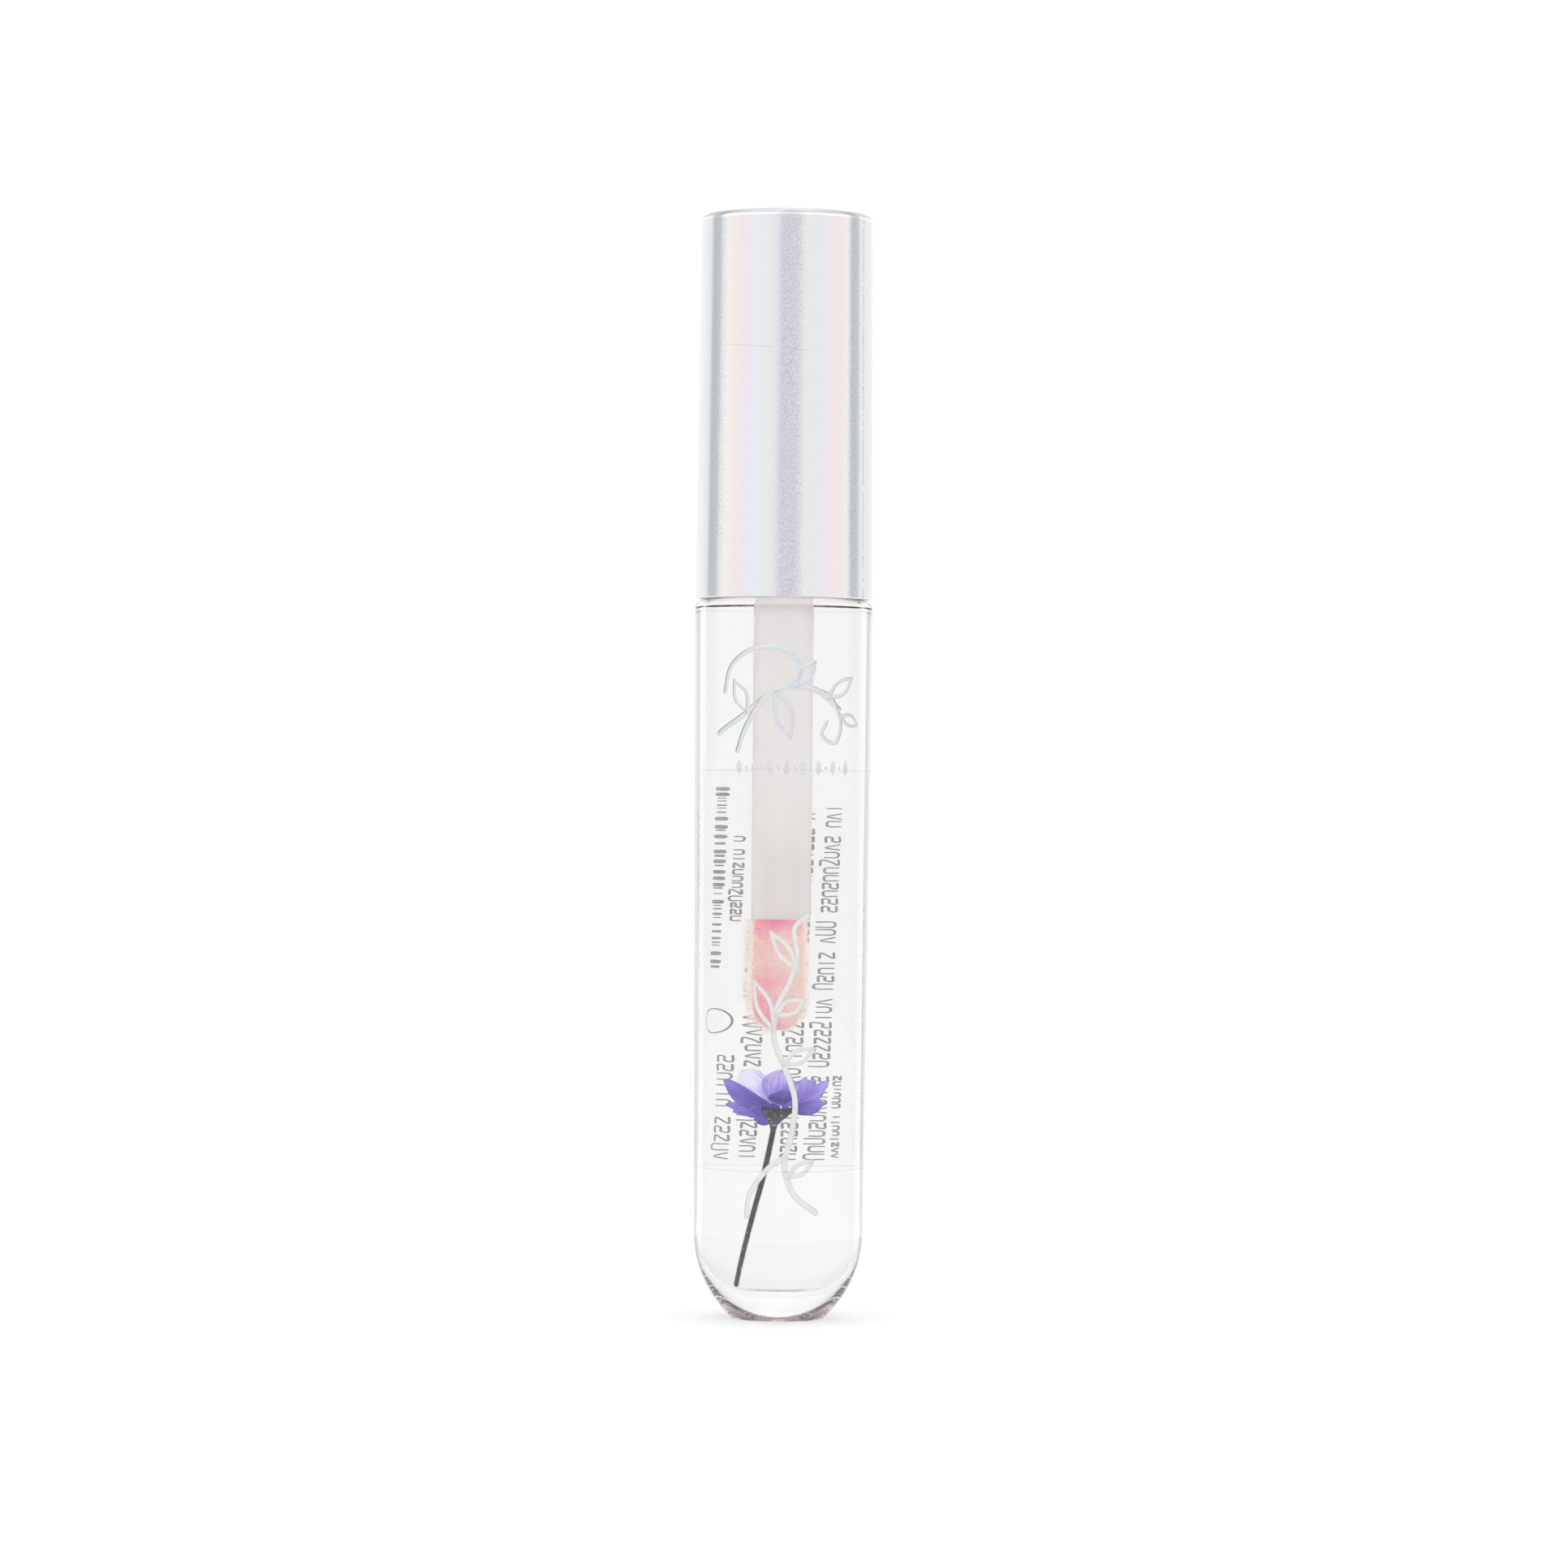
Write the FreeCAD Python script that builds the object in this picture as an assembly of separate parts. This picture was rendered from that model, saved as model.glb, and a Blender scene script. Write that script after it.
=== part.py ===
# Lip gloss tube: a thick-walled clear bottle with a threaded neck and a wiper, and a
# cap that carries the wand. Millimetres, +Z up, origin at the centre of the bottle's
# foot. The user faces the -Y side. One STEP file is written for each piece.
import FreeCAD, Part
import math
import os

# ---- bottle -------------------------------------------------------------------
SHOULDER_R = 8.00        # outer radius just under the shoulder
SHOULDER_Z = 64.60       # height of the shoulder's top face
SHOULDER_CHAMFER = 0.45
HEEL_R = 7.62            # the body drafts down to this radius
HEEL_Z = 7.20
BELLY_R = 6.55           # a point on the rounded heel, between wall and foot
BELLY_Z = 3.20
FOOT_R = 4.17
FOOT_EDGE = 0.18         # rounding of the foot's corner
RECESS_R = 3.40          # shallow recess for the sticker under the foot
RECESS_DEPTH = 0.30
NECK_R = 5.80
NECK_HEIGHT = 13.00
NECK_BORE_R = 4.80
NECK_CHAMFER = 0.30
BORE_CHAMFER = 0.15
CAVITY_FLOOR_Z = 3.45
CAVITY_FLOOR_R = 4.66    # the cavity drafts down to this radius
CAVITY_CORNER = 3.20     # radius of the cavity's rounded bottom corner
CAVITY_TOP_Z = 68.20     # where the cavity's draft ends and the straight neck bore starts

# ---- thread between neck and inner cap -----------------------------------------
LEAD = 3.00              # rise for one turn, single start, right-handed
TURNS = 1.50
NECK_THREAD_R = 6.35     # crest of the neck's thread
CAP_THREAD_R = 6.00      # crest of the inner cap's thread
CAP_BORE_R = 6.50
THREAD_ROOT_WIDTH = 1.30
THREAD_CREST_WIDTH = 0.70
THREAD_START_Z = 67.90   # middle of the neck thread's lower end
ROOT_SINK = 0.08         # how far a thread is sunk into its wall

# ---- wiper ----------------------------------------------------------------------
WIPER_FLANGE = 0.60
WIPER_FLANGE_R = 5.70
WIPER_SEAT_GAP = 0.03    # between the neck's rim and the flange
WIPER_BARREL_R = 4.78
WIPER_BEAD_R = 4.92      # snap bead, in a groove of the neck
WIPER_BEAD_DEPTH = 3.00  # below the neck's rim
GROOVE_R = 4.96
BEAD_HALF = 0.30         # half the height of a snap bead
GROOVE_HALF = 0.35       # half the height of the groove that takes it
WIPER_INNER_R = 4.05
WIPER_CONE_Z = 70.20
WIPER_LIP_Z = 66.20
WIPER_LIP_WALL = 0.35
WIPER_LIP_HEIGHT = 0.50
WIPER_ENTRY = 0.40       # slant of the wiper's mouth
WIPER_LEAD_IN = 0.20     # slant that eases the barrel into the neck
SMALL_CHAMFER = 0.15
ORIFICE_R = 1.96

# ---- cap ------------------------------------------------------------------------
CAP_GAP = 0.10           # between the shoulder and the cap's rim
CAP_TOP_Z = 99.30
CAP_RIM_R = 7.96
CAP_TOP_R = 7.69
CAP_CAVITY_R = 7.10
CAP_END_WALL = 1.00
CAP_EDGE = 0.45          # rounding of the top edge
RIM_EDGE = 0.12
LINER_R = 7.00           # inner cap
LINER_RIB_R = 7.08
LINER_RIBS = 24
LINER_RIB_WIDTH = 0.50
LINER_RIB_INSET = 0.50   # a rib ends this far inside the liner's ends
LINER_MOUTH = 0.25       # chamfer that guides the liner onto the neck
LINER_RIM_Z = 65.10
LINER_DECK = 1.40        # thickness of the wall over the neck
LINER_GAP = 0.10         # between the liner's top and the shell's end wall
BOSS_R = 3.00
BOSS_TOP_Z = 90.00

# ---- washer -----------------------------------------------------------------------
WASHER_T = 0.80
WASHER_GAP = 0.03
WASHER_R = 5.70
WASHER_BORE_R = 1.98

# ---- wand ---------------------------------------------------------------------------
STEM_R = 1.83
STEM_TIP_Z = 36.00
STEM_TOP_Z = 89.60
STEM_FIT = 0.02
STEM_BEAD_R = 2.00       # snap bead that locks the stem in its boss
STEM_BEAD_Z = 86.50
STEM_EDGE = 0.12         # rounding of the stem's lower end
STEM_CHAMFER = 0.30
SOCKET_R = 1.00          # bore in the stem's lower end
SOCKET_DEPTH = 6.00
PLUG_R = 0.97
PLUG_LENGTH = 5.40
PLUG_CORE_R = 0.82       # between its barb and the paddle
PLUG_NOSE_R = 0.53
PLUG_SINK = 0.20         # how far the plug starts inside the paddle
BARB_SHARE = 0.60        # the barb's place along the plug
BARB_HALF = 0.40
# The slanted tip, as ellipses: height, centre in Y, half width in X, half depth in Y.
TIP_SECTIONS = [
    (36.00, 0.00, 1.30, 1.30),
    (35.20, 0.00, 1.34, 1.29),
    (33.60, 0.05, 1.43, 1.22),
    (31.60, 0.17, 1.52, 1.06),
    (29.60, 0.35, 1.55, 0.86),
    (28.00, 0.52, 1.44, 0.68),
    (27.00, 0.65, 1.16, 0.52),
    (26.40, 0.74, 0.78, 0.36),
    (26.12, 0.79, 0.36, 0.18),
]
FLOCK_T = 0.28           # thickness of the flocking
TIP_BOTTOM_Z = TIP_SECTIONS[-1][0]

# ---- contents and labels ----------------------------------------------------------------
GLOSS_TOP_Z = 65.60
GLOSS_GAP = 0.02
WAND_WELL_R = 1.98       # the wand's way through the gloss
WAND_WELL_DEPTH = 0.60   # below the paddle's lowest point
LABEL_BOTTOM_Z = 13.62
LABEL_TOP_Z = 49.40
LABEL_T = 0.06
ADHESIVE = 0.03          # left free between a label and the bottle
LABEL_SEAM_DEG = 1.5     # butt gap between the label's two ends
LABEL_SEAM_AT_DEG = 145.0
STICKER_R = 3.28
STICKER_T = 0.12

NECK_TOP_Z = SHOULDER_Z + NECK_HEIGHT
WIPER_TOP_Z = NECK_TOP_Z + WIPER_FLANGE
WASHER_Z = WIPER_TOP_Z + WASHER_GAP
DECK_Z = WASHER_Z + WASHER_T + WASHER_GAP
CAP_RIM_Z = SHOULDER_Z + CAP_GAP
SHELL_END_Z = CAP_TOP_Z - CAP_END_WALL
LINER_TOP_Z = SHELL_END_Z - LINER_GAP

Z_AXIS = FreeCAD.Vector(0, 0, 1)
ORIGIN = FreeCAD.Vector(0, 0, 0)


def at(r, z):
    """A point of a profile, at radius r and height z."""
    return FreeCAD.Vector(r, 0, z)


def body_radius(z):
    """Outer radius of the bottle's drafted wall at height z."""
    share = (z - HEEL_Z) / (SHOULDER_Z - SHOULDER_CHAMFER - HEEL_Z)
    return HEEL_R + (SHOULDER_R - HEEL_R) * share


def turned(path, degrees=360.0, start=0.0):
    """A solid turned about +Z from a closed path. A step of the path is a point, or a
    pair (middle, end) for an arc."""
    edges, here = [], path[0]
    for step in path[1:] + [path[0]]:
        if isinstance(step, tuple):
            middle, end = step
            edges.append(Part.Arc(here, middle, end).toShape())
            here = end
        else:
            edges.append(Part.LineSegment(here, step).toShape())
            here = step
    solid = Part.Face(Part.Wire(edges)).revolve(ORIGIN, Z_AXIS, degrees)
    solid.rotate(ORIGIN, Z_AXIS, start)
    return solid


def corner(centre_r, centre_z, radius, at_deg):
    """A point on a rounded corner, at_deg up from the outward direction."""
    angle = math.radians(at_deg)
    return at(centre_r + radius * math.cos(angle), centre_z + radius * math.sin(angle))


def ring_edges(solid, rings):
    """The circular edges of a turned solid that lie at the given (radius, height)s."""
    found = []
    for edge in solid.Edges:
        if not isinstance(edge.Curve, Part.Circle):
            continue
        for r, z in rings:
            if abs(edge.Curve.Radius - r) < 1e-4 and abs(edge.Curve.Center.z - z) < 1e-4:
                found.append(edge)
    return found


def thread(wall_r, crest_r, middle_z, start_deg=0.0):
    """One helical thread rib, sunk a little into the wall that it stands on."""
    outward = 1 if crest_r > wall_r else -1
    root_r = wall_r - outward * ROOT_SINK
    helix = Part.makeHelix(LEAD, LEAD * TURNS, root_r)
    half_root, half_crest = THREAD_ROOT_WIDTH / 2, THREAD_CREST_WIDTH / 2
    corners = [
        at(root_r, -half_root),
        at(crest_r, -half_crest),
        at(crest_r, half_crest),
        at(root_r, half_root),
    ]
    section = Part.makePolygon(corners + corners[:1])
    rib = Part.Wire(helix.Edges).makePipeShell([section], True, True)
    rib.rotate(ORIGIN, Z_AXIS, start_deg)
    rib.translate(FreeCAD.Vector(0, 0, middle_z))
    return rib


def oval_loft(sections, grow=0.0):
    """A smooth solid through upright ellipses, each grown outwards by grow."""
    wires = []
    for z, centre_y, half_x, half_y in sections:
        half_x, half_y = half_x + grow, half_y + grow
        long_is_x = half_x >= half_y
        ellipse = Part.Ellipse(ORIGIN, max(half_x, half_y), min(half_x, half_y))
        edge = ellipse.toShape()
        if not long_is_x:
            edge.rotate(ORIGIN, Z_AXIS, 90)
        edge.translate(FreeCAD.Vector(0, centre_y, z))
        wires.append(Part.Wire([edge]))
    return Part.makeLoft(wires, True, False)


# ---- pieces of the bottle --------------------------------------------------------------
def bottle():
    """Thick clear body with its cavity, recessed foot and threaded neck."""
    groove_z = NECK_TOP_Z - WIPER_BEAD_DEPTH
    floor_turn_z = CAVITY_FLOOR_Z + CAVITY_CORNER
    turn_r = CAVITY_FLOOR_R - CAVITY_CORNER
    path = [
        at(0, RECESS_DEPTH),
        at(RECESS_R, RECESS_DEPTH),
        at(RECESS_R, 0),
        at(FOOT_R, 0),
        (at(BELLY_R, BELLY_Z), at(HEEL_R, HEEL_Z)),
        at(SHOULDER_R, SHOULDER_Z - SHOULDER_CHAMFER),
        at(SHOULDER_R - SHOULDER_CHAMFER, SHOULDER_Z),
        at(NECK_R, SHOULDER_Z),
        at(NECK_R, NECK_TOP_Z - NECK_CHAMFER),
        at(NECK_R - NECK_CHAMFER, NECK_TOP_Z),
        at(NECK_BORE_R + BORE_CHAMFER, NECK_TOP_Z),
        at(NECK_BORE_R, NECK_TOP_Z - BORE_CHAMFER),
        at(NECK_BORE_R, groove_z + GROOVE_HALF),
        (at(GROOVE_R, groove_z), at(NECK_BORE_R, groove_z - GROOVE_HALF)),
        at(NECK_BORE_R, CAVITY_TOP_Z),
        at(CAVITY_FLOOR_R, floor_turn_z),
        (corner(turn_r, floor_turn_z, CAVITY_CORNER, -45), at(turn_r, CAVITY_FLOOR_Z)),
        at(0, CAVITY_FLOOR_Z),
    ]
    body = turned(path)
    body = body.makeFillet(FOOT_EDGE, ring_edges(body, [(FOOT_R, 0)]))
    return body.fuse(thread(NECK_R, NECK_THREAD_R, THREAD_START_Z)).removeSplitter()


def wiper():
    """Flanged insert that snaps into the neck and narrows to a lip round the stem."""
    bead_z = NECK_TOP_Z - WIPER_BEAD_DEPTH
    barrel_end_z = WIPER_CONE_Z - 2 * WIPER_ENTRY
    seat_z = NECK_TOP_Z + WIPER_SEAT_GAP
    return turned([
        at(WIPER_INNER_R, WIPER_TOP_Z - WIPER_ENTRY),
        at(WIPER_INNER_R, WIPER_CONE_Z),
        at(ORIFICE_R, WIPER_LIP_Z + WIPER_LIP_HEIGHT),
        at(ORIFICE_R, WIPER_LIP_Z),
        at(ORIFICE_R + WIPER_LIP_WALL, WIPER_LIP_Z),
        at(WIPER_BARREL_R - WIPER_LEAD_IN, barrel_end_z),
        at(WIPER_BARREL_R, barrel_end_z + WIPER_ENTRY),
        at(WIPER_BARREL_R, bead_z - BEAD_HALF),
        (at(WIPER_BEAD_R, bead_z), at(WIPER_BARREL_R, bead_z + BEAD_HALF)),
        at(WIPER_BARREL_R, seat_z),
        at(WIPER_FLANGE_R, seat_z),
        at(WIPER_FLANGE_R, WIPER_TOP_Z - SMALL_CHAMFER),
        at(WIPER_FLANGE_R - SMALL_CHAMFER, WIPER_TOP_Z),
        at(WIPER_INNER_R + WIPER_ENTRY, WIPER_TOP_Z),
    ])


def gloss_fill():
    """The gloss that fills the cavity, with the wand's way left free."""
    floor_z = CAVITY_FLOOR_Z + GLOSS_GAP
    side_r = CAVITY_FLOOR_R - GLOSS_GAP
    turn_z = CAVITY_FLOOR_Z + CAVITY_CORNER
    turn_r = CAVITY_FLOOR_R - CAVITY_CORNER
    radius = CAVITY_CORNER - GLOSS_GAP
    return turned([
        at(0, floor_z),
        at(turn_r, floor_z),
        (corner(turn_r, turn_z, radius, -45), at(side_r, turn_z)),
        at(cavity_radius(GLOSS_TOP_Z) - GLOSS_GAP, GLOSS_TOP_Z),
        at(WAND_WELL_R, GLOSS_TOP_Z),
        at(WAND_WELL_R, TIP_BOTTOM_Z - WAND_WELL_DEPTH),
        at(0, TIP_BOTTOM_Z - WAND_WELL_DEPTH),
    ])


def cavity_radius(z):
    """Radius of the bottle's cavity at height z, between its floor and its neck."""
    low, high = CAVITY_FLOOR_Z + CAVITY_CORNER, CAVITY_TOP_Z
    return CAVITY_FLOOR_R + (NECK_BORE_R - CAVITY_FLOOR_R) * (z - low) / (high - low)


def wrap_label():
    """Clear film wrapped round the body, its ends butted with a small gap."""
    low_r = body_radius(LABEL_BOTTOM_Z) + ADHESIVE
    high_r = body_radius(LABEL_TOP_Z) + ADHESIVE
    film = [
        at(low_r, LABEL_BOTTOM_Z),
        at(low_r + LABEL_T, LABEL_BOTTOM_Z),
        at(high_r + LABEL_T, LABEL_TOP_Z),
        at(high_r, LABEL_TOP_Z),
    ]
    return turned(film, 360.0 - LABEL_SEAM_DEG, LABEL_SEAM_AT_DEG + LABEL_SEAM_DEG / 2)


def base_label():
    """Round sticker in the foot's recess."""
    sticker = Part.makeCylinder(STICKER_R, STICKER_T)
    sticker.translate(FreeCAD.Vector(0, 0, RECESS_DEPTH - ADHESIVE - STICKER_T))
    return sticker


# ---- washer -----------------------------------------------------------------------------
def seal_washer():
    """Foam washer between the wiper's flange and the inner cap's deck."""
    washer = Part.makeCylinder(WASHER_R, WASHER_T)
    washer = washer.cut(Part.makeCylinder(WASHER_BORE_R, WASHER_T))
    washer.translate(FreeCAD.Vector(0, 0, WASHER_Z))
    return washer


# ---- pieces of the cap --------------------------------------------------------------------
def cap_shell():
    """Drafted outer cap, closed at the top."""
    shell = turned([
        at(0, CAP_TOP_Z),
        at(CAP_TOP_R, CAP_TOP_Z),
        at(CAP_RIM_R, CAP_RIM_Z),
        at(CAP_CAVITY_R, CAP_RIM_Z),
        at(CAP_CAVITY_R, SHELL_END_Z),
        at(0, SHELL_END_Z),
    ])
    shell = shell.makeFillet(CAP_EDGE, ring_edges(shell, [(CAP_TOP_R, CAP_TOP_Z)]))
    rim = ring_edges(shell, [(CAP_RIM_R, CAP_RIM_Z), (CAP_CAVITY_R, CAP_RIM_Z)])
    return shell.makeFillet(RIM_EDGE, rim)


def inner_cap():
    """Threaded liner with grip ribs, a deck over the neck and a boss for the stem."""
    deck_top = DECK_Z + LINER_DECK
    bore_r = STEM_R + STEM_FIT
    bead_r = STEM_BEAD_R + STEM_FIT
    liner = turned([
        at(CAP_BORE_R + LINER_MOUTH, LINER_RIM_Z),
        at(LINER_R, LINER_RIM_Z),
        at(LINER_R, LINER_TOP_Z),
        at(CAP_BORE_R, LINER_TOP_Z),
        at(CAP_BORE_R, deck_top),
        at(BOSS_R, deck_top),
        at(BOSS_R, BOSS_TOP_Z),
        at(bore_r, BOSS_TOP_Z),
        at(bore_r, STEM_BEAD_Z + GROOVE_HALF),
        (at(bead_r, STEM_BEAD_Z), at(bore_r, STEM_BEAD_Z - GROOVE_HALF)),
        at(bore_r, DECK_Z),
        at(CAP_BORE_R, DECK_Z),
        at(CAP_BORE_R, LINER_RIM_Z + LINER_MOUTH),
    ])
    rib_depth = LINER_RIB_R - LINER_R + ROOT_SINK
    rib_z = LINER_RIM_Z + LINER_RIB_INSET
    rib_height = LINER_TOP_Z - LINER_RIB_INSET - rib_z
    ribs = []
    for i in range(LINER_RIBS):
        rib = Part.makeBox(rib_depth, LINER_RIB_WIDTH, rib_height)
        rib.translate(FreeCAD.Vector(LINER_R - ROOT_SINK, -LINER_RIB_WIDTH / 2, rib_z))
        rib.rotate(ORIGIN, Z_AXIS, i * 360.0 / LINER_RIBS)
        ribs.append(rib)
    ribbed = liner.multiFuse(ribs)
    screw = thread(CAP_BORE_R, CAP_THREAD_R, THREAD_START_Z + LEAD / 2)
    return ribbed.fuse(screw).removeSplitter()


def stem():
    """Wand rod, snapped into the boss, with a socket for the applicator."""
    edge_r = STEM_R - STEM_EDGE
    edge_z = STEM_TIP_Z + STEM_EDGE
    return turned([
        at(0, STEM_TIP_Z + SOCKET_DEPTH),
        at(SOCKET_R, STEM_TIP_Z + SOCKET_DEPTH),
        at(SOCKET_R, STEM_TIP_Z),
        at(edge_r, STEM_TIP_Z),
        (corner(edge_r, edge_z, STEM_EDGE, -45), at(STEM_R, edge_z)),
        at(STEM_R, STEM_BEAD_Z - BEAD_HALF),
        (at(STEM_BEAD_R, STEM_BEAD_Z), at(STEM_R, STEM_BEAD_Z + BEAD_HALF)),
        at(STEM_R, STEM_TOP_Z - STEM_CHAMFER),
        at(STEM_R - STEM_CHAMFER, STEM_TOP_Z),
        at(0, STEM_TOP_Z),
    ])


def applicator_core():
    """Soft slanted paddle with a barbed plug that holds it in the stem."""
    plug_top = STEM_TIP_Z + PLUG_LENGTH
    barb_z = STEM_TIP_Z + PLUG_LENGTH * BARB_SHARE
    plug = turned([
        at(0, STEM_TIP_Z - PLUG_SINK),
        at(PLUG_CORE_R, STEM_TIP_Z - PLUG_SINK),
        at(PLUG_CORE_R, barb_z - BARB_HALF),
        at(PLUG_R, barb_z),
        at(PLUG_CORE_R, barb_z + BARB_HALF),
        at(PLUG_CORE_R, plug_top + PLUG_NOSE_R - PLUG_CORE_R),
        at(PLUG_NOSE_R, plug_top),
        at(0, plug_top),
    ])
    return oval_loft(TIP_SECTIONS).fuse(plug).removeSplitter()


def flock_tip():
    """Flocking that covers the paddle below the stem, open where the plug enters."""
    fold = TIP_SECTIONS[-1]
    closed = TIP_SECTIONS[:-1] + [(fold[0] - FLOCK_T, fold[1], fold[2], fold[3])]
    outer = oval_loft(closed, FLOCK_T)
    return outer.cut(oval_loft(TIP_SECTIONS))


PIECES = {
    "bottle": bottle,
    "wiper": wiper,
    "gloss_fill": gloss_fill,
    "wrap_label": wrap_label,
    "base_label": base_label,
    "seal_washer": seal_washer,
    "cap_shell": cap_shell,
    "inner_cap": inner_cap,
    "stem": stem,
    "applicator_core": applicator_core,
    "flock_tip": flock_tip,
}


def main():
    os.makedirs("parts", exist_ok=True)
    for name, make in PIECES.items():
        shape = make()
        if not shape.isValid() or not shape.Solids:
            raise RuntimeError(name + " is not a valid solid")
        shape.exportStep("parts/" + name + ".step")
        print(name, len(shape.Solids), "solid", round(shape.Volume, 2), "mm3")


main()
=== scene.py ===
import math
import random

import bmesh
import bpy
from mathutils import Matrix, Vector


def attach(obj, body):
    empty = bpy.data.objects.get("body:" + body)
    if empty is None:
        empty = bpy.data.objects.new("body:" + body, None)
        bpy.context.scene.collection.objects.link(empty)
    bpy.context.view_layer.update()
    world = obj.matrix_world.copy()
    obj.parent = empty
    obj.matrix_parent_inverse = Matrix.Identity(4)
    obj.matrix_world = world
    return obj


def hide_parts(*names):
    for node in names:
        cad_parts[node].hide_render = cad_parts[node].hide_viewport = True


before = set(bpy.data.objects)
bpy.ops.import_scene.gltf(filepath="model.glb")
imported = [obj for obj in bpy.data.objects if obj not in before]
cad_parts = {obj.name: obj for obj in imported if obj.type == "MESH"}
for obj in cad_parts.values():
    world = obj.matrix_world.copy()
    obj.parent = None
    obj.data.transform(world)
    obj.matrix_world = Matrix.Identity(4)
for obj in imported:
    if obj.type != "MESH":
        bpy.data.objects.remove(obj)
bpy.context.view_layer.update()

# Lengths below are in millimetres, heights above the foot, and turned into metres by MM.
MM = 0.001
SEGMENTS = 256           # round a turned piece

# ---- the bottle's outline, as in the frame -------------------------------------
SHOULDER_R, SHOULDER_Z, SHOULDER_CHAMFER = 8.00, 64.60, 0.45
HEEL_R, HEEL_Z = 7.62, 7.20
BELLY_R, BELLY_Z = 6.55, 3.20
FOOT_R, FOOT_EDGE = 4.17, 0.18
RECESS_R, RECESS_DEPTH = 3.40, 0.30
NECK_R, NECK_TOP_Z = 5.80, 77.60
NECK_BORE_R = 4.80
NECK_THREAD_R, THREAD_START_Z = 6.35, 67.90
THREAD_LEAD, THREAD_TURNS = 3.00, 1.50
THREAD_ROOT_HALF, THREAD_CREST_HALF = 0.65, 0.35
CAVITY_FLOOR_R, CAVITY_FLOOR_Z, CAVITY_CORNER = 4.66, 3.45, 3.20
CAVITY_TOP_Z = 68.20
GLOSS_TOP_Z = 65.60
FILM_LOW_Z, FILM_HIGH_Z = 13.62, 49.40
STICKER_R = 3.28
SMALL_ROUND = 0.05

# ---- optics ---------------------------------------------------------------------
PETG_IOR = 1.57
GLOSS_IOR = 1.47

# ---- the wand's tip -----------------------------------------------------------------
# Height, centre in Y, half width in X, half depth in Y of the slanted paddle.
PADDLE = [
    (36.00, 0.00, 1.52, 1.34),
    (35.20, 0.00, 1.55, 1.30),
    (33.60, 0.05, 1.57, 1.22),
    (31.60, 0.17, 1.60, 1.06),
    (29.60, 0.35, 1.61, 0.86),
    (28.00, 0.52, 1.50, 0.68),
    (27.00, 0.65, 1.21, 0.52),
    (26.40, 0.74, 0.78, 0.36),
    (26.12, 0.79, 0.36, 0.18),
]
PADDLE_X = -0.12         # the paddle stands a little to one side
FIBRES = 10000
FIBRE_REACH = 1.92       # no fibre ends further from the wand's axis
FIBRE_TUFT = 0.55        # but the fibres on the -X side are combed out this much further
FIBRE_LENGTH = (0.26, 0.46)
FIBRE_R = (0.014, 0.022)
FIBRE_SPREAD = 0.16      # how far fibres stray from straight out
FIBRE_ROOT = 0.02        # a fibre starts this far inside the paddle
TUFT_GROWTH = 0.9        # the combed-out fibres are up to this share longer

SCRATCH_Z = 86.8         # hairline scratch round the cap
NICK_Z = 98.2
COAT_EDGE_Z = 98.85      # the coating's edge just under the cap's top

# ---- prints -------------------------------------------------------------------------------
INK_LIFT = 0.006         # inks lie this far off the bottle
INK_T = 0.004
PETAL_STEP = 0.0011      # each petal lies this much above the one before
VINE_LIFT = INK_LIFT + 0.026
BACK_PRINT_R = 7.8       # places on the back are measured round this radius
FILM_LIFT = 0.050
FILM_T = 0.040

# ---- camera, in metres: level, near the tube's middle, a long lens, rolled a little ---------
CAMERA_DISTANCE = 0.4687
CAMERA_Z = 0.0481
CAMERA_X = 0.00016
CAMERA_ROLL_DEG = 0.53
VIEW_WIDTH = 0.14148     # width of the view at the tube's axis
SENSOR_MM = 36.0

FLOOR_Z = -0.00002       # just under the foot


# ======================================================================================
# Shapes
# ======================================================================================
def arc_through(a, b, c, steps):
    """Points from a to c along the circle that also goes through b."""
    (ax, ay), (bx, by), (cx, cy) = a, b, c
    d = 2 * (ax * (by - cy) + bx * (cy - ay) + cx * (ay - by))
    a2, b2, c2 = ax * ax + ay * ay, bx * bx + by * by, cx * cx + cy * cy
    x = (a2 * (by - cy) + b2 * (cy - ay) + c2 * (ay - by)) / d
    y = (a2 * (cx - bx) + b2 * (ax - cx) + c2 * (bx - ax)) / d
    radius = math.hypot(ax - x, ay - y)
    start, end = math.atan2(ay - y, ax - x), math.atan2(cy - y, cx - x)
    return [
        (x + radius * math.cos(start + (end - start) * i / steps),
         y + radius * math.sin(start + (end - start) * i / steps))
        for i in range(steps + 1)
    ]


def rounded(corners, steps=5, support=0.10):
    """An outline whose corners (r, z, fillet) are rounded. Extra points beside each
    fillet keep the long faces' shading straight."""
    path = []
    for i, corner in enumerate(corners):
        here = Vector(corner[:2])
        fillet = corner[2] if len(corner) > 2 else 0
        if not fillet or i in (0, len(corners) - 1):
            path.append(tuple(here))
            continue
        back, ahead = Vector(corners[i - 1][:2]) - here, Vector(corners[i + 1][:2]) - here
        turn = math.pi - back.angle(ahead)
        reach = min(fillet * math.tan(turn / 2), 0.4 * back.length, 0.4 * ahead.length)
        start, end = here + back.normalized() * reach, here + ahead.normalized() * reach
        if back.length > 4 * (reach + support):
            path.append(tuple(start + back.normalized() * support))
        for k in range(steps + 1):
            t = k / steps
            path.append(tuple((1 - t) ** 2 * start + 2 * t * (1 - t) * here + t * t * end))
        if ahead.length > 4 * (reach + support):
            path.append(tuple(end + ahead.normalized() * support))
    return path


def circle_at(radius, z, steps):
    turns = [2 * math.pi * i / steps for i in range(steps)]
    return [(radius * math.cos(a) * MM, radius * math.sin(a) * MM, z * MM) for a in turns]


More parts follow.
